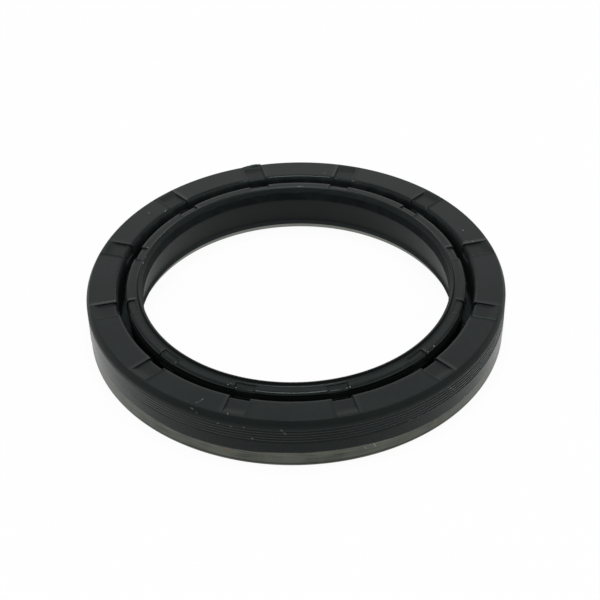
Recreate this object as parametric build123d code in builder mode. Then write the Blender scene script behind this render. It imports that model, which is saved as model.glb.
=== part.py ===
from build123d import *

import os
from math import cos, radians, sin

# Radial shaft seal: a pressed steel case, a rubber body moulded on it with one lip, and a garter
# spring. The seal lies on the flange of its case. The origin is on the ring's axis at the flange's
# outer face, +Z runs along the axis towards the open side with the spring, lengths are millimetres.

# The shaft that the lip runs on, the housing bore that the outside is pressed into, and the width
shaft_diameter = 45.0
housing_diameter = 60.0
seal_width = 8.0

# Steel case: a flange and a wall in one pressing, bare at the foot and stepped in above
steel_thickness = 0.9
flange_shaft_clearance = 0.75
case_bend_radius = 0.65
case_bend_inner_radius = 0.2
band_height = 2.7
band_step = 0.08
covered_skin = 0.85
joggle_height = 0.6
case_top_cover = 1.3

# Rubber outside: grooves round the skin and a bevel to the open face
rib_pitch = 0.46
rib_groove_count = 5
rib_groove_width = 0.26
rib_groove_depth = 0.1
rib_top_land = 0.52
bevel_width = 0.52
bevel_height = 0.9
bevel_bulge = 0.05

# Ring cavity, which takes its share of the room between the lip's crown and the case wall
cavity_share = 0.3
cavity_edge_radius = 0.6
cavity_floor_skin = 0.9
cavity_floor_radius = 0.4

# Lip: sealing edge, cone on the air side, flexing wall, and the foot above the flange
lip_interference = 1.1
edge_depth = 1.9
membrane_thickness = 0.75
cone_flare = 1.15
foot_ledge_width = 0.3
foot_ledge_height = 0.39
foot_lip_height = 0.1
shoulder_drop = 0.55
shoulder_start_angle = 250.0
crown_groove_angle = 50.0

# Garter spring in its groove behind the sealing edge
spring_coil_diameter = 1.3
spring_head_thickness = 1.0
spring_offset = 0.4

# Crown of the lip: a flat top with a raised rim on its inner side
crown_width = 2.2
crown_drop = 0.1
crown_edge_radius = 0.5
crown_collar = 1.9
rim_face_offset = 0.25
rim_face_depth = 0.6
rim_width = 0.65
rim_height = 0.43
rim_crest_width = 0.32
rim_crest_drop = 0.2

# Mould fins: each leaves a pocket in the open face, a notch in the crown and a slot between them
fin_count = 12
fin_first_angle = 15.0
fin_width = 2.8
pocket_depth = 0.25
pocket_rim = 0.43
notch_floor_width = 0.85
notch_depth = 0.2
slot_depth = 1.6
slot_bite = 0.4

# Radii and heights that follow from the sizes above
outer_radius = housing_diameter / 2
band_radius = outer_radius - band_step
wall_radius = outer_radius - covered_skin
wall_inner_radius = wall_radius - steel_thickness
flange_bore_radius = shaft_diameter / 2 + flange_shaft_clearance
case_top = seal_width - case_top_cover
joggle_top = band_height + joggle_height

lip_radius = (shaft_diameter - lip_interference) / 2
edge_z = seal_width - edge_depth
spring_radius = spring_coil_diameter / 2
spring_ring_radius = lip_radius + spring_head_thickness + spring_radius
spring_z = edge_z - spring_offset

crown_top = seal_width - crown_drop
rim_face_radius = lip_radius + rim_face_offset
rim_foot_radius = rim_face_radius + rim_width
crown_radius = rim_face_radius + crown_width
crown_bottom = crown_top - crown_collar

cavity_radius = crown_radius + cavity_share * (wall_inner_radius - crown_radius)
cavity_floor = steel_thickness + cavity_floor_skin
bevel_bottom = seal_width - bevel_height
face_radius = outer_radius - bevel_width

ledge_z = steel_thickness + foot_lip_height
foot_z = ledge_z + foot_ledge_height
foot_radius = lip_radius + cone_flare
ledge_radius = foot_radius - foot_ledge_width
cone_slope = cone_flare / (edge_z - foot_z)


def membrane_outside(z):
    """Radius of the flexing wall's outer face, parallel to the cone on the air side."""
    return lip_radius + cone_slope * (edge_z - z) + membrane_thickness


def groove_point(angle):
    """Point of the spring groove's round section at an angle from the outward direction."""
    return (
        spring_ring_radius + spring_radius * cos(radians(angle)),
        spring_z + spring_radius * sin(radians(angle)),
    )


# Steel case, one pressing
with BuildPart() as steel_case:
    with BuildSketch(Plane.XZ) as case_section:
        with BuildLine():
            Polyline(
                (flange_bore_radius, 0),
                (band_radius, 0),
                (band_radius, band_height),
                (wall_radius, joggle_top),
                (wall_radius, case_top),
                (wall_inner_radius, case_top),
                (wall_inner_radius, joggle_top),
                (band_radius - steel_thickness, band_height),
                (band_radius - steel_thickness, steel_thickness),
                (flange_bore_radius, steel_thickness),
                close=True,
            )
        make_face()
        outer_bend = vertices().sort_by_distance((band_radius, 0))[0]
        fillet(outer_bend, case_bend_radius)
        inner_bend = vertices().sort_by_distance((band_radius - steel_thickness, steel_thickness))[0]
        fillet(inner_bend, case_bend_inner_radius)
    revolve(axis=Axis.Z)
steel_case.part.label = "steel_case"

# Garter spring, close wound and joined into a ring, as its outer form
with BuildPart() as garter_spring:
    with BuildSketch(Plane.XZ):
        with Locations((spring_ring_radius, spring_z)):
            Circle(spring_radius)
    revolve(axis=Axis.Z)
garter_spring.part.label = "garter_spring"

# Rubber body, moulded on the case: skin, bevelled face, ring cavity and lip in one
with BuildPart() as rubber_body:
    with BuildSketch(Plane.XZ) as rubber_section:
        with BuildLine():
            # Foot of the skin, below the bare band's edge and inside the case wall
            skin_foot = Polyline(
                (flange_bore_radius, steel_thickness),
                (band_radius - steel_thickness / 2, steel_thickness),
                (band_radius - steel_thickness / 2, band_height),
                (outer_radius, band_height),
            )
            # Grooves round the outside, counted down from the bevel
            outline_end = skin_foot @ 1
            for groove in reversed(range(rib_groove_count)):
                groove_z = bevel_bottom - rib_top_land - rib_groove_width / 2 - groove * rib_pitch
                groove_start = (outer_radius, groove_z - rib_groove_width / 2)
                groove_end = (outer_radius, groove_z + rib_groove_width / 2)
                Line(outline_end, groove_start)
                ThreePointArc(groove_start, (outer_radius - rib_groove_depth, groove_z), groove_end)
                outline_end = groove_end
            Line(outline_end, (outer_radius, bevel_bottom))
            # Bevel, a little full, up to the open face
            bevel_side = Vector(bevel_height, bevel_width).normalized() * bevel_bulge
            bevel_middle = Vector(outer_radius - bevel_width / 2, seal_width - bevel_height / 2)
            ThreePointArc(
                (outer_radius, bevel_bottom),
                bevel_middle + bevel_side,
                (face_radius, seal_width),
            )
            # Open face, its rounded inner edge, and the cavity
            Line((face_radius, seal_width), (cavity_radius + cavity_edge_radius, seal_width))
            RadiusArc(
                (cavity_radius + cavity_edge_radius, seal_width),
                (cavity_radius, seal_width - cavity_edge_radius),
                -cavity_edge_radius,
            )
            shoulder_z = groove_point(shoulder_start_angle)[1] - shoulder_drop
            cavity_line = Polyline(
                (cavity_radius, seal_width - cavity_edge_radius),
                (cavity_radius, cavity_floor),
                (membrane_outside(cavity_floor), cavity_floor),
                (membrane_outside(shoulder_z), shoulder_z),
                groove_point(shoulder_start_angle),
            )
            # Spring groove, open outwards
            CenterArc(
                (spring_ring_radius, spring_z),
                spring_radius,
                shoulder_start_angle,
                crown_groove_angle - shoulder_start_angle,
            )
            # Crown, its raised rim and the face down to the sealing edge
            Polyline(
                groove_point(crown_groove_angle),
                (crown_radius, crown_bottom),
                (crown_radius, crown_top),
                (rim_foot_radius, crown_top),
                (rim_face_radius + rim_crest_width, crown_top + rim_height),
                (rim_face_radius, crown_top + rim_height - rim_crest_drop),
                (rim_face_radius, seal_width - rim_face_depth),
                (lip_radius, edge_z),
            )
            # Air side of the lip down to the ledge over the flange
            Polyline(
                (lip_radius, edge_z),
                (foot_radius, foot_z),
                (ledge_radius, ledge_z),
                (ledge_radius, steel_thickness),
                (flange_bore_radius, steel_thickness),
            )
        make_face()
        for corner in ((cavity_radius, cavity_floor), (membrane_outside(cavity_floor), cavity_floor)):
            fillet(vertices().sort_by_distance(corner)[0], cavity_floor_radius)
        fillet(vertices().sort_by_distance((crown_radius, crown_top))[0], crown_edge_radius)
    revolve(axis=Axis.Z)
    add(steel_case.part, mode=Mode.SUBTRACT)

    # Pockets in the open face, from the cavity out to a thin rim inside the bevel
    pocket_outer = face_radius - pocket_rim
    pocket_inner = cavity_radius + slot_bite
    with BuildSketch(Plane.XY.offset(seal_width - pocket_depth)):
        with PolarLocations((pocket_inner + pocket_outer) / 2, fin_count, fin_first_angle):
            Rectangle(pocket_outer - pocket_inner, fin_width)
    extrude(amount=pocket_depth + rim_height, mode=Mode.SUBTRACT)

    # Notches in the crown, from its raised rim outwards
    notch_outer = crown_radius - slot_bite
    notch_inner = notch_outer - notch_floor_width
    with BuildSketch(Plane.XY.offset(crown_top - notch_depth)):
        with PolarLocations((notch_inner + notch_outer) / 2, fin_count, fin_first_angle):
            Rectangle(notch_outer - notch_inner, fin_width)
    extrude(amount=notch_depth + rim_height, mode=Mode.SUBTRACT)

    # Slots in the cavity's two walls, where the same fins stood across it
    with BuildSketch(Plane.XY.offset(seal_width - slot_depth)):
        with PolarLocations((notch_outer + pocket_inner) / 2, fin_count, fin_first_angle):
            Rectangle(pocket_inner - notch_outer, fin_width)
    extrude(amount=slot_depth + rim_height, mode=Mode.SUBTRACT)
rubber_body.part.label = "rubber_body"

os.makedirs("parts", exist_ok=True)
export_step(steel_case.part, "parts/steel_case.step")
export_step(rubber_body.part, "parts/rubber_body.step")
export_step(garter_spring.part, "parts/garter_spring.step")
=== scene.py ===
from math import cos, pi, radians, sin

import bpy
import numpy as np
from mathutils import Matrix, Vector


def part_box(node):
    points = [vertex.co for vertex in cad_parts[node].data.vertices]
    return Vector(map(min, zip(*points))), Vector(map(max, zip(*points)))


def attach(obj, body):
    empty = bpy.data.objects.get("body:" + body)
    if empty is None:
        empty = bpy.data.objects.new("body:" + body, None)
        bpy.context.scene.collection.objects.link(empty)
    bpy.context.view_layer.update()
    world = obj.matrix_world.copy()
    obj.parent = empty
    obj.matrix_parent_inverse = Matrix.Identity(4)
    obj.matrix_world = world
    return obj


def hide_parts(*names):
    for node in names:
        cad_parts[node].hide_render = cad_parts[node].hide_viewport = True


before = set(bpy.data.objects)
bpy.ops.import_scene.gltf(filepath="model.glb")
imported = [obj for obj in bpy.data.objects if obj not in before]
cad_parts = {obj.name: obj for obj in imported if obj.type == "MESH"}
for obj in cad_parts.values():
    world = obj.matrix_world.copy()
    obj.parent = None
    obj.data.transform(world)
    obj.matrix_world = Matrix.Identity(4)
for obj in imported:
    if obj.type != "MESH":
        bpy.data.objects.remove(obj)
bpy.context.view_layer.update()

# Radial shaft seal, lying on its flange with the open side up: rubber moulded on a steel case, and a
# garter spring. Lengths of the seal are millimetres, mostly under the names that the part's source gives
# them, and become metres in the meshes. Lengths of the studio are metres.
mm = 0.001

# The shaft, the width, and the overall sizes that the frame gives
shaft_diameter = 45.0
seal_width = 8.0
outer_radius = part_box("rubber_body")[1].x / mm
rim_crest_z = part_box("rubber_body")[1].z / mm

# Steel case: a flange and a wall in one pressing, bare at the foot and stepped in above
steel_thickness = 0.9
flange_shaft_clearance = 0.75
case_bend_radius = 0.65
case_bend_inner_radius = 0.2
band_height = 2.7
band_step = 0.08
covered_skin = 0.85
joggle_height = 0.6
case_top_cover = 1.3
# The rubber's lower edge wanders over the bare band, so the band runs this far up under it.
flash_room = 0.42

# Rubber outside: grooves round the skin and a bevel to the open face
rib_pitch = 0.46
rib_groove_count = 5
rib_groove_width = 0.26
rib_groove_depth = 0.13
rib_top_land = 0.52
bevel_width = 0.52
bevel_height = 0.9
bevel_bulge = 0.05
# The skin's smooth lower part, and how far up the skin follows its wandering lower edge
skin_foot_height = 1.5
flash_reach = 0.6

# Ring cavity, which takes its share of the room between the lip's crown and the case wall
cavity_share = 0.3
cavity_edge_radius = 0.6
cavity_floor_skin = 0.9

# Lip: sealing edge, cone on the air side, flexing wall, and the foot above the flange
lip_interference = 1.1
edge_depth = 1.9
membrane_thickness = 0.75
cone_flare = 1.15
foot_ledge_width = 0.3
foot_ledge_height = 0.39
foot_lip_height = 0.1
shoulder_drop = 0.55

# Garter spring in its groove behind the sealing edge
spring_radius = 0.65
spring_head_thickness = 1.0
spring_offset = 0.4
crown_groove_angle = 50.0
shoulder_start_angle = 250.0

# Crown of the lip: a flat top with a raised rim on its inner side
crown_width = 2.2
crown_drop = 0.1
crown_edge_radius = 0.62
crown_collar = 1.9
rim_face_offset = 0.25
rim_face_depth = 0.6
rim_width = 0.65
rim_crest_width = 0.32
rim_crest_drop = 0.2

# Mould fins: each left a pocket in the open face, a notch in the crown and a slot between them
fin_count = 12
fin_first_angle = radians(15)
fin_half_width = 1.4
pocket_depth = 0.25
pocket_bite = 0.24
pocket_rim = 0.43
pocket_slope_length = 0.9
notch_depth = 0.22
notch_tilt = 0.03
notch_edge_width = 0.15
notch_floor_width = 1.1
slot_depth = 1.6

# Radii and heights that follow from the sizes above
flange_bore_radius = shaft_diameter / 2 + flange_shaft_clearance
band_radius = outer_radius - band_step
band_inner_radius = band_radius - steel_thickness
band_top = band_height + flash_room
joggle_top = band_top + joggle_height
wall_radius = outer_radius - covered_skin
wall_inner_radius = wall_radius - steel_thickness
case_top = seal_width - case_top_cover

bevel_bottom = seal_width - bevel_height
face_radius = outer_radius - bevel_width
ribs_top = bevel_bottom - rib_top_land
ribs_bottom = ribs_top - rib_groove_width - (rib_groove_count - 1) * rib_pitch

lip_radius = (shaft_diameter - lip_interference) / 2
edge_z = seal_width - edge_depth
ledge_z = steel_thickness + foot_lip_height
foot_z = ledge_z + foot_ledge_height
foot_radius = lip_radius + cone_flare
ledge_radius = foot_radius - foot_ledge_width
cone_slope = cone_flare / (edge_z - foot_z)
spring_ring_radius = lip_radius + spring_head_thickness + spring_radius
spring_z = edge_z - spring_offset

crown_top = seal_width - crown_drop
crown_bottom = crown_top - crown_collar
rim_face_radius = lip_radius + rim_face_offset
rim_face_bottom = seal_width - rim_face_depth
rim_face_top = rim_crest_z - rim_crest_drop
rim_crest_radius = rim_face_radius + rim_crest_width
rim_foot_radius = rim_face_radius + rim_width
crown_radius = rim_face_radius + crown_width
cavity_radius = crown_radius + cavity_share * (wall_inner_radius - crown_radius)
cavity_floor = steel_thickness + cavity_floor_skin

pocket_floor = seal_width - pocket_depth
pocket_inner = cavity_radius + pocket_bite
pocket_outer = face_radius - pocket_rim
notch_floor = crown_top - notch_depth
notch_outer = crown_radius - notch_edge_width
notch_inner = notch_outer - notch_floor_width
slot_floor = seal_width - slot_depth


def membrane_outside(z):
    """Radius of the flexing wall's outer face at a height."""
    return lip_radius + cone_slope * (edge_z - z) + membrane_thickness


def groove_point(angle):
    """Point of the spring groove's round section at an angle from the outward direction."""
    a = radians(angle)
    return spring_ring_radius + spring_radius * cos(a), spring_z + spring_radius * sin(a)


def bent_line(corners):
    """A closed section line as points. Each corner is (radius, height, reach, steps, after): the corner is
    rounded from reach before it to reach past it in steps, and after points lie between it and the next."""
    points = []
    count = len(corners)
    for i, (r, z, reach, steps, after) in enumerate(corners):
        here = np.array((r, z))
        before = np.array(corners[i - 1][:2]) - here
        following = corners[(i + 1) % count]
        ahead = np.array(following[:2]) - here
        start = here + before / np.hypot(*before) * reach
        end = here + ahead / np.hypot(*ahead) * reach
        for k in range(steps + 1):
            t = k / max(steps, 1)
            points.append((1 - t) ** 2 * start + 2 * t * (1 - t) * here + t * t * end)
        target = np.array(following[:2]) - ahead / np.hypot(*ahead) * following[2]
        for k in range(1, after + 1):
            points.append(end + (target - end) * k / (after + 1))
    return np.array(points)


# The rubber's section has as many points where a mould fin stood as between two fins. Where it has no
# corner to match one of the other section, it has a point on its straight run, rounded by this little.
least_reach = 0.02


def rim_corners():
    """The sealing edge, the face above it and the raised rim, up to the crown."""
    return [
        (lip_radius, edge_z, 0.04, 2, 4),
        (rim_face_radius, rim_face_bottom, 0.12, 2, 1),
        (rim_face_radius, rim_face_top, 0.06, 3, 0),
        (rim_crest_radius, rim_crest_z, 0.07, 3, 0),
        (rim_foot_radius, crown_top, 0.22, 5, 0),
    ]


def crown_corners(fin):
    """The crown: at a fin the notch with its tilted floor and the slot's ledge, otherwise a flat top."""
    if fin:
        corners = [
            (notch_inner, crown_top, 0.05, 2, 0),
            (notch_inner, notch_floor + notch_tilt, 0.05, 2, 3),
            (notch_outer, notch_floor - notch_tilt, 0.5, 9, 1),
            (notch_outer, slot_floor, 0.04, 2, 0),
            (crown_radius, slot_floor, 0.04, 2, 0),
        ]
    else:
        corners = [
            (notch_inner, crown_top, least_reach, 2, 0),
            (notch_inner + 0.1, crown_top, least_reach, 2, 3),
            (crown_radius, crown_top, crown_edge_radius, 9, 1),
            (crown_radius, slot_floor + 0.35, least_reach, 2, 0),
            (crown_radius, slot_floor + 0.1, least_reach, 2, 0),
        ]
    return corners + [(crown_radius, crown_bottom, 0.05, 2, 0)]


def cavity_corners():
    """The spring groove from the crown's underside round to the shoulder, the flexing wall and the floor."""
    steps = 10
    corners = []
    for k in range(steps + 1):
        angle = crown_groove_angle + (shoulder_start_angle - crown_groove_angle) * k / steps
        corners.append((*groove_point(angle), 0.0, 0, 0))
    shoulder_z = groove_point(shoulder_start_angle)[1] - shoulder_drop
    return corners + [
        (membrane_outside(shoulder_z), shoulder_z, 0.12, 2, 3),
        (membrane_outside(cavity_floor), cavity_floor, 0.36, 3, 1),
        (cavity_radius, cavity_floor, 0.4, 3, 4),
    ]


def face_corners(fin):
    """The cavity's outer wall and the open face, at a fin with the slot and the pocket."""
    if fin:
        return [
            (cavity_radius, slot_floor, 0.05, 2, 0),
            (pocket_inner, slot_floor, 0.05, 2, 1),
            (pocket_inner, pocket_floor, 0.5, 8, 8),
            (pocket_outer - pocket_slope_length, pocket_floor, 0.35, 3, 1),
            (pocket_outer, seal_width, 0.15, 3, 1),
        ]
    return [
        (cavity_radius, slot_floor, least_reach, 2, 0),
        (cavity_radius, slot_floor + 0.2, least_reach, 2, 1),
        (cavity_radius, seal_width, cavity_edge_radius, 8, 8),
        (pocket_outer - pocket_slope_length, seal_width, least_reach, 3, 1),
        (pocket_outer, seal_width, least_reach, 3, 1),
    ]


def bevel_corners():
    """The bevel, a little full."""
    steps = 6
    length = np.hypot(bevel_width, bevel_height)
    corners = [(face_radius, seal_width, 0.08, 3, 0)]
    for k in range(1, steps):
        t = k / steps
        full = bevel_bulge * 4 * t * (1 - t)
        r = face_radius + bevel_width * t + full * bevel_height / length
        z = seal_width - bevel_height * t + full * bevel_width / length
        corners.append((r, z, 0.0, 0, 0))
    return corners + [(outer_radius, bevel_bottom, 0.06, 2, 1)]


def rib_corners():
    """The grooves round the outside, counted down from the bevel."""
    corners = []
    for groove in range(rib_groove_count):
        middle = ribs_top - rib_groove_width / 2 - groove * rib_pitch
        for t in (-1, -0.8, -0.45, 0, 0.45, 0.8, 1):
            depth = rib_groove_depth * (1 - t * t)
            corners.append((outer_radius - depth, middle - t * rib_groove_width / 2, 0.0, 0, 0))
    return corners


def skin_corners():
    """The skin's smooth lower part, its thin edge on the bare band, and the hidden seat on the case."""
    return [
        (outer_radius, band_height + skin_foot_height, 0.1, 1, 2),
        (outer_radius, band_height + flash_reach, 0.1, 1, 3),
        (outer_radius, band_height, 0.04, 2, 0),
        (band_radius, band_height, 0.0, 0, 0),
        (band_radius, band_top, 0.0, 0, 0),
        (wall_radius, joggle_top, 0.0, 0, 0),
        (wall_radius, case_top, 0.0, 0, 0),
        (wall_inner_radius, case_top, 0.0, 0, 0),
        (wall_inner_radius, joggle_top, 0.0, 0, 0),
        (band_inner_radius, band_top, 0.0, 0, 0),
        (band_inner_radius, steel_thickness, case_bend_inner_radius, 2, 1),
        (flange_bore_radius, steel_thickness, 0.0, 0, 0),
    ]


def foot_corners():
    """The foot of the lip with its ledge, and the cone up to the sealing edge."""
    return [
        (ledge_radius, steel_thickness, 0.03, 1, 0),
        (ledge_radius, ledge_z, 0.04, 2, 1),
        (foot_radius, foot_z, 0.06, 2, 7),
    ]


def rubber_section(fin):
    """Points of the rubber's section, where a mould fin stood or between two fins."""
    return bent_line(
        rim_corners()
        + crown_corners(fin)
        + cavity_corners()
        + face_corners(fin)
        + bevel_corners()
        + rib_corners()
        + skin_corners()
        + foot_corners()
    )


def wander(angle, waves):
    """A smooth wander round the ring from waves of (height, count round the ring, phase in degrees)."""
    return sum(height * np.sin(count * angle + radians(phase)) for height, count, phase in waves)


# The skin's lower edge, the foot of the rim's inner face and the depth of the outside grooves, as they
# wander round the ring
flash_waves = (
    (-0.2, 0, 90),
    (0.25, 1, 270),
    (0.2, 5, 120),
    (0.03, 19, 10),
    (0.015, 47, 200),
    (0.008, 101, 80),
)
lip_band_waves = ((0.05, 5, 20), (0.04, 11, 160), (0.03, 23, 75))
groove_waves = ((-0.62, 0, 90), (0.38, 1, 110), (0.2, 2, 170), (0.08, 5, 30), (0.08, 13, 300))


def as_moulded(r, z, angle):
    """The section as it came out of the mould at an angle, with its uneven edge, lip and grooves."""
    r = r.copy()
    z = z.copy()
    seat = (r < band_radius + 0.001) & (z > band_height + 0.1)
    lower_skin = (r > band_radius - 0.001) & (z < band_height + flash_reach) & ~seat
    flash_share = (band_height + flash_reach - z[lower_skin]) / flash_reach
    z[lower_skin] += flash_share * wander(angle, flash_waves)
    lip_band = (r < rim_face_radius + 0.05) & (z > edge_z + 0.3) & (z < rim_face_top - 0.1)
    z[lip_band] += wander(angle, lip_band_waves)
    grooves = (r > outer_radius - 2 * rib_groove_depth) & (z > ribs_bottom - 0.1) & (z < ribs_top + 0.1)
    r[grooves] = outer_radius - (outer_radius - r[grooves]) * max(0.0, 1 + wander(angle, groove_waves))
    return r, z


def sector_columns():
    """Columns of one sector as (offset from the fin's middle in millimetres, share of the way to the next
    fin, weight of the fin's section, share of the burr beside the fin)."""
    edge = 0.05
    side = [
        (3.0 * edge, 0.0, 0.0),
        (1.8 * edge, 0.0, 1.0),
        (edge, 0.0, 0.5),
        (0.45 * edge, 0.04, 0.0),
        (0.15 * edge, 0.25, 0.0),
        (-0.15 * edge, 0.75, 0.0),
        (-0.45 * edge, 0.96, 0.0),
        (-edge, 1.0, 0.0),
    ]
    inner_count = 7
    gap_count = 18
    columns = []
    for out, weight, burr in side:
        columns.append((-fin_half_width - out, 0.0, weight, burr))
    for k in range(1, inner_count + 1):
        offset = (fin_half_width - edge) * (2 * k / (inner_count + 1) - 1)
        columns.append((offset, 0.0, 1.0, 0.0))
    for out, weight, burr in reversed(side):
        columns.append((fin_half_width + out, 0.0, weight, burr))
    for k in range(1, gap_count):
        columns.append((fin_half_width + 3.0 * edge, k / gap_count, 0.0, 0.0))
    return columns


# Height of the burrs beside a fin, and of the torn flash at the outer end of a pocket, by the fin's number
side_burr = 0.05
end_burrs = {0: 0.14, 3: 0.32, 7: 0.06}


def burr_height(fin, side):
    """Height of the burr beside a fin, different at each of its sides."""
    return side_burr * (0.6 + 0.4 * sin(2.6 * fin + 1.9 * side))


def add_end_burr(r, z, fin, offset):
    """Raise the torn flash at the outer end of a fin's pocket, ragged across the fin."""
    start = pocket_outer - 0.1
    run = 0.85
    tear = 1 - 0.5 * abs(offset / fin_half_width + 0.3) - 0.2 * abs(sin(5 * offset))
    end = (r > start) & (r < outer_radius - 0.2) & (z > seal_width - 0.35)
    z[end] += end_burrs[fin] * tear * np.sin(pi * (r[end] - start) / run).clip(0)


def rubber_points():
    """Radius, angle and height of the rubber body's points, each an array of (column, section point)."""
    between = rubber_section(False)
    at_fin = rubber_section(True)
    tops = (between[:, 1] > seal_width - 0.15) & (between[:, 0] > rim_foot_radius + 0.2)
    columns = []
    pitch = 2 * pi / fin_count
    for fin in range(fin_count):
        middle = fin_first_angle + fin * pitch
        for offset, share, weight, burr in sector_columns():
            section = between + weight * (at_fin - between)
            r, z = as_moulded(section[:, 0], section[:, 1], middle + offset / outer_radius + share * pitch)
            z[tops] += burr * burr_height(fin, np.sign(offset))
            if weight > 0.9 and fin in end_burrs:
                add_end_burr(r, z, fin, offset)
            lean = np.arcsin(offset / r)
            angle = middle + lean + share * (pitch - 2 * lean)
            columns.append((r, angle, z))
    return np.array(columns).transpose(1, 0, 2)


def to_xyz(r, angle, z):
    """Points in millimetres from arrays of radius, angle and height."""
    return np.stack([r * np.cos(angle), r * np.sin(angle), z], 2)


def ring_mesh(name, points, flip=False):
    """A closed mesh of quads from an array of (column, section point, xyz) in millimetres. Its faces look
    outward where the sections run anticlockwise, and with flip where they run clockwise."""
    columns, rows = points.shape[:2]
    a = np.arange(columns * rows).reshape(columns, rows)
    b = np.roll(a, -1, 0)
    c = np.roll(b, -1, 1)
    d = np.roll(a, -1, 1)
    corners = (a, d, c, b) if flip else (a, b, c, d)
    faces = np.stack([corner.ravel() for corner in corners], 1)
    mesh = bpy.data.meshes.new(name)
    mesh.vertices.add(columns * rows)
    mesh.vertices.foreach_set("co", (points.reshape(-1, 3) * mm).astype(np.float32).ravel())
    mesh.loops.add(faces.size)
    mesh.loops.foreach_set("vertex_index", faces.astype(np.int32).ravel())
    mesh.polygons.add(len(faces))
    mesh.polygons.foreach_set("loop_start", np.arange(0, faces.size, 4, dtype=np.int32))
    mesh.update(calc_edges=True)
    mesh.validate()
    mesh.shade_smooth()
    piece = bpy.data.objects.new(name, mesh)
    bpy.context.scene.collection.objects.link(piece)
    return piece


def dress(piece, node, slot, *materials):
    """Give a piece its materials and have it stand for a CAD node."""
    for material in materials:
        piece.data.materials.append(material)
    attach(piece, "root")
    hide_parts(node)


def is_painted_shade(r, z):
    """True where the rubber takes its shaded copy, painted shade and light without reflection: the cavity
    below its rounded edges, the lip's bore and the slope of the rim."""
    middle = (crown_radius + cavity_radius) / 2
    crown_side = (r > notch_outer - 0.08) & (r <= middle) & (z < notch_floor - 0.25)
    below_edge = (r < pocket_inner - 0.09) & (z < seal_width - 0.28)
    below_pocket = (r < pocket_inner + 0.08) & (z < pocket_floor - 0.2)
    face_side = (r > middle) & (below_edge | below_pocket)
    cavity = (z > cavity_floor - 0.1) & (crown_side | face_side)
    lip_side = (r < rim_face_radius + 0.03) & (z > edge_z) & (z < rim_face_top)
    rim_slope = (r > rim_crest_radius + 0.04) & (r < rim_foot_radius - 0.06) & (z > crown_top + 0.06)
    return cavity | lip_side | rim_slope


def quad_means(values):
    """Mean over each quad's corners of values given as an array of (column, section point)."""
    return sum(np.roll(values, (-a, -b), (0, 1)) for a in (0, 1) for b in (0, 1)) / 4


def make_rubber(glossy_material, shaded_material):
    """The rubber body in one mesh, with a second material of painted shade and light on the quads of its
    cavity, bore and rim slope.
    """
    r, angle, z = rubber_points()
    piece = ring_mesh("rubber_body_moulded", to_xyz(r, angle, z), flip=True)
    dress(piece, "rubber_body", "seal_rubber", glossy_material, shaded_material)
    shaded_quads = is_painted_shade(quad_means(r), quad_means(z))
    piece.data.polygons.foreach_set("material_index", shaded_quads.astype(np.int32).ravel())


def make_case(material):
    """The case as one pressing, its lower edges a little worn."""
    section = bent_line([
        (flange_bore_radius, 0, 0.08, 2, 8),
        (band_radius, 0, case_bend_radius, 8, 5),
        (band_radius, band_top, 0.1, 2, 1),
        (wall_radius, joggle_top, 0.1, 2, 2),
        (wall_radius, case_top, 0.05, 1, 1),
        (wall_inner_radius, case_top, 0.05, 1, 2),
        (wall_inner_radius, joggle_top, 0.1, 1, 1),
        (band_inner_radius, band_top, 0.1, 1, 2),
        (band_inner_radius, steel_thickness, case_bend_inner_radius, 3, 4),
        (flange_bore_radius, steel_thickness, 0.05, 2, 2),
    ])
    column_count = 720
    angles = np.linspace(0, 2 * pi, column_count, endpoint=False)[:, None]
    r, angles, z = np.broadcast_arrays(section[:, 0], angles, section[:, 1])
    piece = ring_mesh("steel_case_pressed", to_xyz(r, angles, z))
    dress(piece, "steel_case", "case_steel", material)


def make_spring(material):
    """The garter spring as a close-wound coil joined into a ring."""
    wire_diameter = 0.27
    winding_pitch = wire_diameter * 1.005
    steps_per_turn = 14
    facets = 6
    coil_radius = spring_radius - wire_diameter / 2
    turns = round(2 * pi * spring_ring_radius / winding_pitch)
    ring_angle = np.linspace(0, 2 * pi, turns * steps_per_turn, endpoint=False)
    outward = np.stack([np.cos(ring_angle), np.sin(ring_angle), 0 * ring_angle], 1)
    around = np.stack([-np.sin(ring_angle), np.cos(ring_angle), 0 * ring_angle], 1)
    upward = np.array((0.0, 0.0, 1.0))
    coil_cos = np.cos(turns * ring_angle)[:, None]
    coil_sin = np.sin(turns * ring_angle)[:, None]
    from_centre = outward * coil_cos + upward * coil_sin
    along_turn = -outward * coil_sin + upward * coil_cos
    centre = outward * spring_ring_radius + upward * spring_z + from_centre * coil_radius
    lead = spring_ring_radius / (turns * coil_radius)
    tangent = along_turn + around * lead
    tangent /= np.linalg.norm(tangent, axis=1)[:, None]
    sideways = np.cross(tangent, from_centre)
    rings = []
    for k in range(facets):
        a = 2 * pi * k / facets
        rings.append(centre + (from_centre * cos(a) + sideways * sin(a)) * wire_diameter / 2)
    piece = ring_mesh("garter_spring_coil", np.stack(rings, 1), flip=True)
    dress(piece, "garter_spring", "spring_steel", material)


# Marks round the ring are drawn out this much: a streak is this many times longer than it is wide.
streak_stretch = 60.0

# A Mix node has sockets for every kind of data. These are the numbers of its colours.
mix_first = 6
mix_second = 7
mix_result = 2


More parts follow.
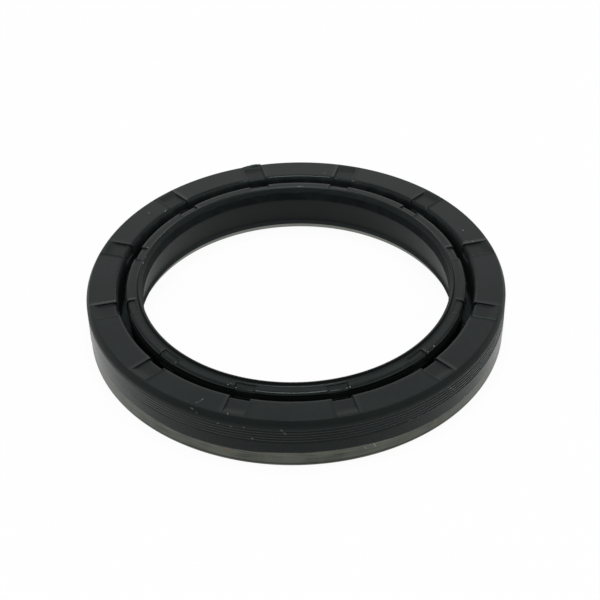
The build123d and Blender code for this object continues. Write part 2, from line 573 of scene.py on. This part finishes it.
class Nodes:
    """A material's node tree, with short ways to add to it. Lengths in it are millimetres."""

    def __init__(self, name):
        self.material = bpy.data.materials.new(name)
        self.material.use_nodes = True
        self.tree = self.material.node_tree
        self.shader = self.tree.nodes["Principled BSDF"]
        coordinates = self.tree.nodes.new("ShaderNodeTexCoord")
        self.place = self.vector("MULTIPLY", coordinates.outputs["Object"], (1 / mm, 1 / mm, 1 / mm))
        x, y, self.z = self.split(self.place)
        self.radius = self.math("SQRT", self.math("MULTIPLY_ADD", x, x, self.math("MULTIPLY", y, y)))
        self.around = self.math("MULTIPLY", self.math("ARCTAN2", y, x), outer_radius)
        self.unrolled = self.join(self.around, self.radius, self.z)
        across = self.math("ADD", self.radius, self.z)
        self.along_ring = self.join(x, y, self.math("MULTIPLY", across, streak_stretch))

    def put(self, node, socket, value):
        """Give a node's socket its link or its constant."""
        if isinstance(value, bpy.types.NodeSocket):
            self.tree.links.new(value, node.inputs[socket])
        else:
            node.inputs[socket].default_value = value

    def finish(self, socket, value):
        """Give a socket of the surface shader its link or its constant."""
        self.put(self.shader, socket, value)

    def math(self, operation, *values):
        node = self.tree.nodes.new("ShaderNodeMath")
        node.operation = operation
        for i, value in enumerate(values):
            self.put(node, i, value)
        return node.outputs[0]

    def vector(self, operation, *values):
        node = self.tree.nodes.new("ShaderNodeVectorMath")
        node.operation = operation
        for i, value in enumerate(values):
            self.put(node, i, value)
        return node.outputs["Value" if operation in ("DOT_PRODUCT", "DISTANCE") else "Vector"]

    def split(self, vector):
        node = self.tree.nodes.new("ShaderNodeSeparateXYZ")
        self.put(node, 0, vector)
        return node.outputs[:]

    def join(self, x, y, z):
        node = self.tree.nodes.new("ShaderNodeCombineXYZ")
        for i, value in enumerate((x, y, z)):
            self.put(node, i, value)
        return node.outputs[0]

    def product(self, first, second):
        return self.math("MULTIPLY", first, second)

    def total(self, start, *parts):
        """A start plus each part, which is a value and its factor."""
        for value, factor in parts:
            start = self.math("MULTIPLY_ADD", value, factor, start)
        return start

    def largest(self, *values):
        most = values[0]
        for value in values[1:]:
            most = self.math("MAXIMUM", most, value)
        return most

    def noise(self, vector, size, detail=2.0):
        """Soft noise from 0 to 1 whose patches are about size across."""
        node = self.tree.nodes.new("ShaderNodeTexNoise")
        self.put(node, "Vector", vector)
        node.inputs["Scale"].default_value = 1 / size
        node.inputs["Detail"].default_value = detail
        return node.outputs["Fac"]

    def ramp(self, value, low, high, out_low=0.0, out_high=1.0):
        """A value taken from low..high to out_low..out_high, smooth and clamped."""
        node = self.tree.nodes.new("ShaderNodeMapRange")
        node.interpolation_type = "SMOOTHSTEP"
        self.put(node, "Value", value)
        node.inputs["From Min"].default_value = low
        node.inputs["From Max"].default_value = high
        node.inputs["To Min"].default_value = out_low
        node.inputs["To Max"].default_value = out_high
        return node.outputs[0]

    def band(self, value, low, high, fade):
        """1 where a value lies between low and high, fading out over a distance outside them."""
        return self.product(self.ramp(value, low - fade, low), self.ramp(value, high + fade, high))

    def mix(self, share, first, second):
        """Two colours mixed by a share of the second."""
        node = self.tree.nodes.new("ShaderNodeMix")
        node.data_type = "RGBA"
        self.put(node, 0, share)
        for socket, colour in ((mix_first, first), (mix_second, second)):
            self.put(node, socket, colour if isinstance(colour, bpy.types.NodeSocket) else (*colour, 1))
        return node.outputs[mix_result]

    def specks(self, size, spacing, share):
        """Round specks of a size, one in each cell of a spacing where chance allows."""
        node = self.tree.nodes.new("ShaderNodeTexVoronoi")
        self.put(node, "Vector", self.place)
        node.inputs["Scale"].default_value = 1 / spacing
        chance = self.split(node.outputs["Color"])[0]
        kept = self.ramp(chance, 1 - share, 1 - share + 0.001)
        dot = self.ramp(node.outputs["Distance"], 0.5 * size / spacing, 0.25 * size / spacing)
        return self.product(kept, dot)

    def scratch(self, start, end, width):
        """A scratch from one (angle, radius, height) to another over the unrolled ring."""
        a, b = (Vector((radians(angle) * outer_radius, r, z)) for angle, r, z in (start, end))
        run = b - a
        offset = self.vector("SUBTRACT", self.unrolled, tuple(a))
        along = self.math("DIVIDE", self.vector("DOT_PRODUCT", offset, tuple(run)), run.length_squared)
        held = self.math("MINIMUM", self.math("MAXIMUM", along, 0.0), 1.0)
        nearest = self.vector("MULTIPLY", self.join(held, held, held), tuple(run))
        distance = self.vector("DISTANCE", offset, nearest)
        return self.ramp(distance, 0.5 * width, 0.25 * width)

    def scratches(self, marks):
        """All scratches of a list together."""
        return self.largest(*[self.scratch(*mark) for mark in marks])

    def bump(self, height, depth, under=None):
        """A bump of a depth from a height of 0 to 1."""
        node = self.tree.nodes.new("ShaderNodeBump")
        node.inputs["Distance"].default_value = depth * mm
        self.put(node, "Height", height)
        if under is not None:
            self.put(node, "Normal", under)
        return node.outputs[0]


# Gloss of the rubber: its reflection is dim face on and full at a flat angle
rubber_roughness = 0.31
rubber_ior = 1.3
rubber_tint = (0.44, 0.55, 0.53)
# The shaded copy reflects almost nothing, which stands in for shade.
shade_copy_tint = (0.02, 0.025, 0.025)
rubber_sheen = 0.1
rubber_sheen_roughness = 0.3

# Colours of the rubber
bloom_dark = (0.0012, 0.0017, 0.0016)
bloom_pale = (0.0032, 0.0042, 0.0040)
skin_colour = (0.0048, 0.0062, 0.0058)
foot_painted_light = (0.016, 0.018, 0.018)
pocket_colour = (0.0004, 0.0005, 0.0005)
dust_and_glint_colour = (0.15, 0.165, 0.165)
# Painted shade in the cavity, lighter towards its bottom as painted light, and darker on the crown's side
# and the rim's slope.
cavity_shade_dark = (0.014, 0.018, 0.018)
cavity_shade_pale = (0.024, 0.028, 0.028)
cavity_bottom_light = (0.028, 0.036, 0.036)
crown_side_shade = (0.008, 0.0095, 0.0095)
rim_slope_shade = (0.006, 0.007, 0.0068)
# Painted light on the rim's face, above a band of painted shade on the bore.
lit_rim_face_dark = (0.014, 0.0175, 0.017)
lit_rim_face_pale = (0.022, 0.026, 0.0255)
bore_shade_dark = (0.0066, 0.0084, 0.0084)
bore_shade_pale = (0.0105, 0.013, 0.013)

# Handling marks on the rubber, each from one (angle, radius, height) to another, with its width
wall = outer_radius
face = seal_width
rubber_scratches = (
    ((-44.8, wall, 6.1), (-42.6, wall, 4.7), 0.18),
    ((-57.0, wall, 4.34), (-38.0, wall, 4.36), 0.1),
    ((-63.5, wall, 4.8), (-57.5, wall, 4.35), 0.08),
    ((-49.5, wall, 4.9), (-48.2, wall, 4.3), 0.1),
    ((-41.5, wall, 5.5), (-41.0, wall, 5.0), 0.1),
    ((-115.5, 29.0, face), (-115.0, 28.6, face), 0.18),
    ((-115.0, 28.6, face), (-114.7, 28.2, face), 0.12),
    ((-116.0, 29.7, 7.6), (-115.5, 29.72, 7.55), 0.32),
    ((-114.4, 29.85, 7.3), (-114.0, 29.85, 7.2), 0.28),
    ((-116.1, 29.6, 7.7), (-115.5, 29.4, 7.95), 0.13),
    ((-117.9, 29.1, face), (-117.5, 29.15, face), 0.14),
    ((19.1, 26.6, face), (20.6, 26.2, face), 0.12),
    ((-92.3, wall, 6.8), (-91.4, wall, 6.2), 0.12),
)
# Pale specks on the rubber, each from one (angle, radius, height) to another, with its width: dust, and
# painted glints on the rim's crest and on the crown near -39 and 161 degrees.
rubber_specks_and_glints = (
    ((-110.8, 23.98, crown_top), (-110.6, 23.98, crown_top), 0.16),
    ((-110.1, 23.66, crown_top), (-109.9, 23.66, crown_top), 0.14),
    ((-46.0, wall, 6.6), (-44.8, wall, 6.1), 0.14),
    ((-44.2, wall, 6.15), (-43.6, wall, 6.1), 0.12),
    ((-39.1, wall, 2.6), (-38.8, wall, 2.45), 0.14),
    ((-114.6, 28.05, face), (-114.5, 27.85, face), 0.16),
    ((-106.2, 29.25, face), (-106.0, 29.4, face), 0.16),
    ((-108.7, wall, 6.55), (-108.3, wall, 6.5), 0.14),
    ((-105.2, wall, 6.5), (-105.0, wall, 6.44), 0.16),
    ((-101.8, wall, 6.7), (-101.5, wall, 6.65), 0.12),
    ((-92.3, wall, 6.8), (-92.1, wall, 6.7), 0.16),
    ((-91.3, wall, 6.15), (-91.1, wall, 6.05), 0.18),
    ((-99.8, wall, 4.95), (-99.5, wall, 4.85), 0.14),
    ((24.8, 27.2, face), (25.2, 27.1, face), 0.16),
    ((18.6, 27.34, face), (18.9, 27.3, face), 0.2),
    ((144.5, 27.75, face), (144.8, 27.7, face), 0.18),
    ((140.5, 26.1, face), (141.0, 26.05, face), 0.16),
    ((81.3, 26.8, face), (81.8, 26.75, face), 0.1),
    ((-71.4, 24.1, 7.8), (-71.1, 24.05, 7.8), 0.22),
    ((-37.4, 24.1, 7.85), (-37.1, 24.05, 7.85), 0.22),
    ((-40.9, 24.15, 7.8), (-40.5, 24.1, 7.8), 0.16),
    ((151.3, 22.6, 8.25), (151.8, 22.5, 8.3), 0.22),
    ((154.4, 22.6, 8.25), (154.8, 22.5, 8.3), 0.18),
    ((171.0, 22.6, 8.25), (171.8, 22.5, 8.3), 0.24),
    ((168.0, 22.5, 8.3), (168.3, 22.5, 8.3), 0.16),
    ((161.2, 23.3, 7.9), (161.6, 23.2, 7.9), 0.16),
    ((88.4, 22.5, 8.3), (90.6, 22.45, 8.3), 0.14),
)


def outer_skin(rubber):
    """1 on the outside, from the foot of the bevel down."""
    near_wall = rubber.ramp(rubber.radius, outer_radius - 0.5, outer_radius - 0.3)
    return rubber.product(near_wall, rubber.ramp(rubber.z, bevel_bottom + 0.3, bevel_bottom + 0.1))


def bevel_and_land(rubber):
    """1 on the bevel and on the land below it."""
    near_wall = rubber.ramp(rubber.radius, outer_radius - 0.7, outer_radius - 0.45)
    return rubber.product(near_wall, rubber.ramp(rubber.z, ribs_top - 0.18, ribs_top + 0.02))


def fin_pockets(rubber):
    """1 in the pockets of the open face, where the mould fins stood."""
    pitch = 2 * pi * outer_radius / fin_count
    from_first_fin = rubber.math("SUBTRACT", rubber.around, fin_first_angle * outer_radius)
    from_fin = rubber.math("ABSOLUTE", rubber.math("WRAP", from_first_fin, pitch / 2, -pitch / 2))
    off_axis = rubber.math("DIVIDE", rubber.product(from_fin, rubber.radius), outer_radius)
    fins = rubber.ramp(off_axis, fin_half_width + 0.05, fin_half_width - 0.1)
    return rubber.product(fins, rubber.band(rubber.radius, pocket_inner, pocket_outer, 0.1))


def rounded_edges(rubber):
    """1 on the rounded edges of the crown and the cavity."""
    reach = cavity_edge_radius
    crown_edge = rubber.band(rubber.radius, crown_radius - reach, crown_radius + 0.05, 0.1)
    cavity_edge = rubber.band(rubber.radius, cavity_radius - 0.05, cavity_radius + reach, 0.1)
    near_top = rubber.ramp(rubber.z, crown_top - 0.9, crown_top - 0.7)
    return rubber.product(rubber.largest(crown_edge, cavity_edge), near_top)


def pale_marks(rubber, grain):
    """Share of the pale colour: dust all over, the larger specks, some of which are painted glints, and
    scuffs broken up by the grain.
    """
    dust = rubber.product(rubber.specks(size=0.16, spacing=1.0, share=0.07), 0.5)
    fine_dust = rubber.product(rubber.specks(size=0.09, spacing=0.55, share=0.06), 0.25)
    scuffs = rubber.product(rubber.scratches(rubber_scratches), rubber.ramp(grain, 0.35, 0.6, 0.0, 0.5))
    return rubber.largest(dust, fine_dust, scuffs, rubber.scratches(rubber_specks_and_glints))


def rubber_material():
    """Black moulded rubber: a thin uneven bloom, fine marks from the mould, dust and scuffs, painted glints
    among the pale specks, and painted light on the lip's foot.
    """
    rubber = Nodes("seal_rubber")
    bloom = rubber.noise(rubber.place, size=7.0, detail=3.0)
    clouds = rubber.noise(rubber.place, size=1.6)
    streaks = rubber.noise(rubber.along_ring, size=4.0, detail=3.0)
    grain = rubber.noise(rubber.place, size=0.22)
    film = rubber.total(0.0, (bloom, 0.6), (clouds, 0.4))
    skin = outer_skin(rubber)
    pockets = fin_pockets(rubber)
    lip_bore = rubber.ramp(rubber.radius, foot_radius + 0.5, foot_radius + 0.3)
    foot = rubber.product(lip_bore, rubber.ramp(rubber.z, foot_z + 0.1, foot_z))
    colour = rubber.mix(rubber.ramp(film, 0.35, 0.65), bloom_dark, bloom_pale)
    colour = rubber.mix(skin, colour, skin_colour)
    # Painted light: the lip's foot above the flange is made much paler than the rest of the rubber.
    colour = rubber.mix(foot, colour, foot_painted_light)
    colour = rubber.mix(rubber.product(pockets, 0.7), colour, pocket_colour)
    pale = pale_marks(rubber, grain)
    rubber.finish("Base Color", rubber.mix(pale, colour, dust_and_glint_colour))
    smooth_skin = rubber.product(skin, rubber.ramp(rubber.z, ribs_bottom + 0.22, ribs_bottom - 0.08))
    cone = rubber.product(lip_bore, rubber.ramp(rubber.z, edge_z + 0.1, edge_z - 0.1))
    rougher = rubber.largest(cone, rubber.product(pockets, 0.4), bevel_and_land(rubber))
    # Film and streaks average a half, so they add 0.12 to the start on the whole.
    rough = rubber.total(rubber_roughness - 0.12, (film, 0.16), (streaks, 0.08))
    rough = rubber.total(rough, (smooth_skin, -0.03), (rounded_edges(rubber), -0.12), (rougher, 0.26))
    rubber.finish("Roughness", rough)
    rubber.finish("IOR", rubber_ior)
    rubber.finish("Specular Tint", (*rubber_tint, 1))
    rubber.finish("Sheen Weight", rubber_sheen)
    rubber.finish("Sheen Roughness", rubber_sheen_roughness)
    mould_marks = rubber.bump(streaks, 0.006)
    pitted = rubber.bump(grain, 0.003, mould_marks)
    rubber.finish("Normal", rubber.bump(pale, 0.02, pitted))
    return rubber.material


def bore_shade_and_light(rubber, clouds):
    """Colour of the face above the sealing edge: a band of painted shade with an uneven edge, and paler
    painted light on the rim's face above it.
    """
    bore_shade_top = rim_face_bottom - 0.05
    streaks = rubber.noise(rubber.along_ring, size=3.0, detail=3.0)
    uneven_z = rubber.total(rubber.z, (rubber.noise(rubber.place, size=3.0, detail=3.0), 0.7))
    lit_rim_face = rubber.mix(rubber.ramp(streaks, 0.35, 0.65), lit_rim_face_dark, lit_rim_face_pale)
    bore_shade_band = rubber.mix(rubber.ramp(clouds, 0.35, 0.65), bore_shade_dark, bore_shade_pale)
    return rubber.mix(rubber.ramp(uneven_z, bore_shade_top + 0.28, bore_shade_top + 0.45), bore_shade_band, lit_rim_face)


def shaded_rubber_material():
    """A copy of the same rubber with almost no reflection and colours of painted shade and light: the
    cavity, the rim's slope and the lip's bore.
    """
    rubber = Nodes("seal_rubber_painted_shade")
    clouds = rubber.noise(rubber.place, size=1.6, detail=3.0)
    grain = rubber.noise(rubber.place, size=0.22)
    near_crown = rubber.ramp(rubber.radius, crown_radius + 0.2, crown_radius)
    crown_side = rubber.product(near_crown, rubber.ramp(rubber.z, crown_bottom - 0.2, crown_bottom + 0.2))
    lip_bore = rubber.ramp(rubber.radius, rim_face_radius + 0.3, rim_face_radius + 0.1)
    # Painted shade in the cavity, lifted by painted light towards its bottom, and deeper on the crown's side
    # and the rim's slope.
    colour = rubber.mix(rubber.ramp(clouds, 0.35, 0.65), cavity_shade_dark, cavity_shade_pale)
    colour = rubber.mix(rubber.ramp(rubber.z, crown_bottom - 0.2, crown_bottom - 0.8), colour, cavity_bottom_light)
    colour = rubber.mix(crown_side, colour, crown_side_shade)
    colour = rubber.mix(rubber.ramp(rubber.z, crown_top, crown_top + 0.05), colour, rim_slope_shade)
    # Painted shade and light on the bore above the sealing edge.
    colour = rubber.mix(lip_bore, colour, bore_shade_and_light(rubber, clouds))
    rubber.finish("Base Color", colour)
    rubber.finish("Roughness", rubber.total(0.7, (clouds, 0.2)))
    rubber.finish("IOR", rubber_ior)
    rubber.finish("Specular Tint", (*shade_copy_tint, 1))
    rubber.finish("Normal", rubber.bump(grain, 0.004))
    return rubber.material


# Colours of the bare steel
steel_dark = (0.040, 0.046, 0.038)
steel_pale = (0.094, 0.102, 0.086)
tarnish_colour = (0.100, 0.090, 0.066)
wiped_and_highlight_colour = (0.150, 0.148, 0.125)
bend_shade_colour = (0.022, 0.022, 0.02)
rust_colour = (0.035, 0.028, 0.02)
# Pale steel for the nicks, and painted light on the flange's bore edge.
nick_and_edge_light_colour = (0.3, 0.31, 0.29)

# Nicks in the bare steel band
steel_scratches = (
    ((-68.7, band_radius, 2.35), (-68.2, band_radius, 1.75), 0.14),
    ((-71.2, band_radius, 2.1), (-70.6, band_radius, 1.8), 0.1),
    ((-50.5, band_radius, 2.4), (-49.9, band_radius, 1.9), 0.12),
)


def steel_material():
    """Dull pressed steel: drawing marks round the band, oily tarnish, a line of painted shade at the bend, a
    pale band that is partly rubbed clean and partly a painted highlight, and painted light on the flange's
    bore edge.
    """
    steel = Nodes("case_steel")
    streaks = steel.noise(steel.along_ring, size=5.0, detail=4.0)
    fine_streaks = steel.noise(steel.along_ring, size=1.3)
    patches = steel.noise(steel.place, size=4.5, detail=3.0)
    grain = steel.noise(steel.place, size=0.3)
    drawn = steel.total(0.0, (streaks, 0.5), (patches, 0.5))
    tarnish = steel.ramp(steel.noise(steel.place, size=2.4, detail=3.0), 0.5, 0.66, 0.0, 0.7)
    # A pale band below the rubber's edge: partly rubbed clean steel, partly a painted highlight along that
    # edge.
    wiped_and_highlight_band = steel.band(steel.z, band_height - 0.55, band_height - 0.2, 0.2)
    wiped_and_highlight = steel.product(wiped_and_highlight_band, steel.ramp(streaks, 0.48, 0.6, 0.0, 0.5))
    # Painted shade: a dark line at the bend, where the steel faces the shadowed floor.
    bend_shade = steel.band(steel.z, case_bend_radius - 0.05, case_bend_radius + 0.05, 0.14)
    rust = steel.product(steel.specks(size=0.22, spacing=1.1, share=0.12), 0.7)
    nicks = steel.product(steel.scratches(steel_scratches), 0.6)
    # Painted light: the flange's bore edge is made paler, as if it caught light; the nicks are real.
    bore_edge_light = steel.ramp(steel.radius, flange_bore_radius + 0.4, flange_bore_radius + 0.1)
    bright = steel.largest(nicks, steel.product(bore_edge_light, 0.45))
    colour = steel.mix(steel.ramp(drawn, 0.36, 0.62), steel_dark, steel_pale)
    colour = steel.mix(tarnish, colour, tarnish_colour)
    colour = steel.mix(wiped_and_highlight, colour, wiped_and_highlight_colour)
    colour = steel.mix(steel.product(bend_shade, 0.8), colour, bend_shade_colour)
    colour = steel.mix(rust, colour, rust_colour)
    steel.finish("Base Color", steel.mix(bright, colour, nick_and_edge_light_colour))
    steel.finish("Metallic", 1.0)
    steel.finish("Roughness", steel.total(0.26, (patches, 0.15), (fine_streaks, 0.1)))
    drawn_marks = steel.bump(fine_streaks, 0.005)
    steel.finish("Normal", steel.bump(grain, 0.002, drawn_marks))
    return steel.material


# Colours of the spring's wire
wire_dark = (0.018, 0.017, 0.016)
wire_pale = (0.05, 0.048, 0.045)


def spring_material():
    """Drawn spring wire, very dark, with paler patches."""
    wire = Nodes("spring_steel")
    patches = wire.noise(wire.place, size=1.5)
    grain = wire.noise(wire.place, size=0.12)
    wire.finish("Base Color", wire.mix(patches, wire_dark, wire_pale))
    wire.finish("Metallic", 1.0)
    wire.finish("Roughness", wire.total(0.35, (grain, 0.2)))
    wire.finish("Normal", wire.bump(grain, 0.002))
    return wire.material


# Viewing angle: the lens looks down at the ring from one side, a little off centre.
view_elevation = radians(40.032)
view_azimuth = radians(2.28)
view_roll = radians(-1.472)
view_distance = 0.23167
aim_right = 0.00240
aim_up = 0.01335
lens_length = 94.767
sensor_width = 36
nearest_seen = 0.01
farthest_seen = 20


def make_camera():
    """The camera at the viewing angle, aimed a little off the ring's middle and rolled."""
    turn = Matrix.Rotation(view_azimuth, 3, "Z")
    place = Vector((0, -view_distance * cos(view_elevation), view_distance * sin(view_elevation)))
    forward = -place.normalized()
    right = Vector((1, 0, 0))
    up = right.cross(forward)
    aim = (forward + aim_right * right + aim_up * up).normalized()
    side = (right - right.dot(aim) * aim).normalized()
    top = side.cross(aim)
    rolled_side = cos(view_roll) * side + sin(view_roll) * top
    rolled_top = -sin(view_roll) * side + cos(view_roll) * top
    axes = turn @ Matrix((rolled_side, rolled_top, -aim)).transposed()
    data = bpy.data.cameras.new("camera")
    data.lens = lens_length
    data.sensor_width = sensor_width
    data.clip_start = nearest_seen
    data.clip_end = farthest_seen
    camera = bpy.data.objects.new("camera", data)
    camera.matrix_world = Matrix.Translation(turn @ place) @ axes.to_4x4()
    bpy.context.scene.collection.objects.link(camera)
    bpy.context.scene.camera = camera


# The white surround: the floor's size, its colour under the lamps, how nearly white it is to the rays
# that see it as white, and what the world adds to the lamps
floor_half_width = 8.0
floor_albedo = 0.85
floor_white_share = 0.95
world_fill = 0.03


def white_rays(tree):
    """1 for camera, glossy and transmission rays, which see the surround as white."""
    path = tree.nodes.new("ShaderNodeLightPath")
    any_of = path.outputs["Is Camera Ray"]
    for output in ("Is Glossy Ray", "Is Transmission Ray"):
        node = tree.nodes.new("ShaderNodeMath")
        node.operation = "MAXIMUM"
        tree.links.new(any_of, node.inputs[0])
        tree.links.new(path.outputs[output], node.inputs[1])
        any_of = node.outputs[0]
    return any_of


def scaled(tree, value, factor, offset=0.0):
    """A value times a factor plus an offset."""
    node = tree.nodes.new("ShaderNodeMath")
    node.operation = "MULTIPLY_ADD"
    tree.links.new(value, node.inputs[0])
    node.inputs[1].default_value = factor
    node.inputs[2].default_value = offset
    return node.outputs[0]


def floor_material():
    """Matt pale paper that keeps the seal's shadow and is nearly white to the rays that see it so."""
    material = bpy.data.materials.new("floor")
    material.use_nodes = True
    tree = material.node_tree
    tree.nodes.clear()
    paper = tree.nodes.new("ShaderNodeBsdfDiffuse")
    paper.inputs["Color"].default_value = (floor_albedo, floor_albedo, floor_albedo, 1)
    white = tree.nodes.new("ShaderNodeEmission")
    mix = tree.nodes.new("ShaderNodeMixShader")
    tree.links.new(scaled(tree, white_rays(tree), floor_white_share), mix.inputs[0])
    tree.links.new(paper.outputs[0], mix.inputs[1])
    tree.links.new(white.outputs[0], mix.inputs[2])
    output = tree.nodes.new("ShaderNodeOutputMaterial")
    tree.links.new(mix.outputs[0], output.inputs["Surface"])
    return material


def make_floor():
    """The floor that the seal lies on."""
    half = floor_half_width
    corners = [(-half, -half, 0), (half, -half, 0), (half, half, 0), (-half, half, 0)]
    mesh = bpy.data.meshes.new("floor")
    mesh.from_pydata(corners, [], [(0, 1, 2, 3)])
    mesh.materials.append(floor_material())
    floor = bpy.data.objects.new("floor", mesh)
    bpy.context.scene.collection.objects.link(floor)


def make_world():
    """A world that is white to the rays that see it so, and otherwise adds only a little light."""
    world = bpy.data.worlds.new("world")
    world.use_nodes = True
    bpy.context.scene.world = world
    tree = world.node_tree
    background = tree.nodes["Background"]
    background.inputs["Color"].default_value = (1, 1, 1, 1)
    level = scaled(tree, white_rays(tree), 1 - world_fill, world_fill)
    tree.links.new(level, background.inputs["Strength"])


lamp_distance = 1.0


def softbox(name, azimuth, elevation, width, height, radiance):
    """A lamp panel facing the ring. Azimuth 0 is the far side as the camera sees it, 90 is its right."""
    a = radians(azimuth) - view_azimuth
    e = radians(elevation)
    place = Vector((sin(a) * cos(e), cos(a) * cos(e), sin(e))) * lamp_distance
    data = bpy.data.lights.new(name, "AREA")
    data.shape = "RECTANGLE"
    data.size = width
    data.size_y = height
    data.energy = pi * radiance * width * height
    lamp = bpy.data.objects.new(name, data)
    lamp.location = place
    lamp.rotation_mode = "QUATERNION"
    lamp.rotation_quaternion = place.to_track_quat("Z", "Y")
    lamp.visible_camera = False
    bpy.context.scene.collection.objects.link(lamp)


def make_lamps():
    """Large soft panels all round, strongest at the front right, and a small bright one overhead, which
    draws the thin highlights on the rounded edges."""
    softbox("top", azimuth=0, elevation=86, width=0.36, height=0.36, radiance=15.0)
    softbox("front_right", azimuth=130, elevation=37, width=0.62, height=0.76, radiance=1.5)
    softbox("front_left", azimuth=-130, elevation=37, width=0.62, height=0.76, radiance=1.1)
    softbox("left", azimuth=-90, elevation=31, width=0.62, height=0.8, radiance=1.1)
    softbox("right", azimuth=90, elevation=38, width=0.62, height=0.76, radiance=0.9)
    softbox("back", azimuth=0, elevation=37, width=0.95, height=0.76, radiance=0.5)
    softbox("front", azimuth=180, elevation=26, width=1.0, height=0.35, radiance=0.7)


make_rubber(rubber_material(), shaded_rubber_material())
make_case(steel_material())
make_spring(spring_material())
make_camera()
make_floor()
make_world()
make_lamps()
bpy.context.scene.view_settings.view_transform = "Standard"
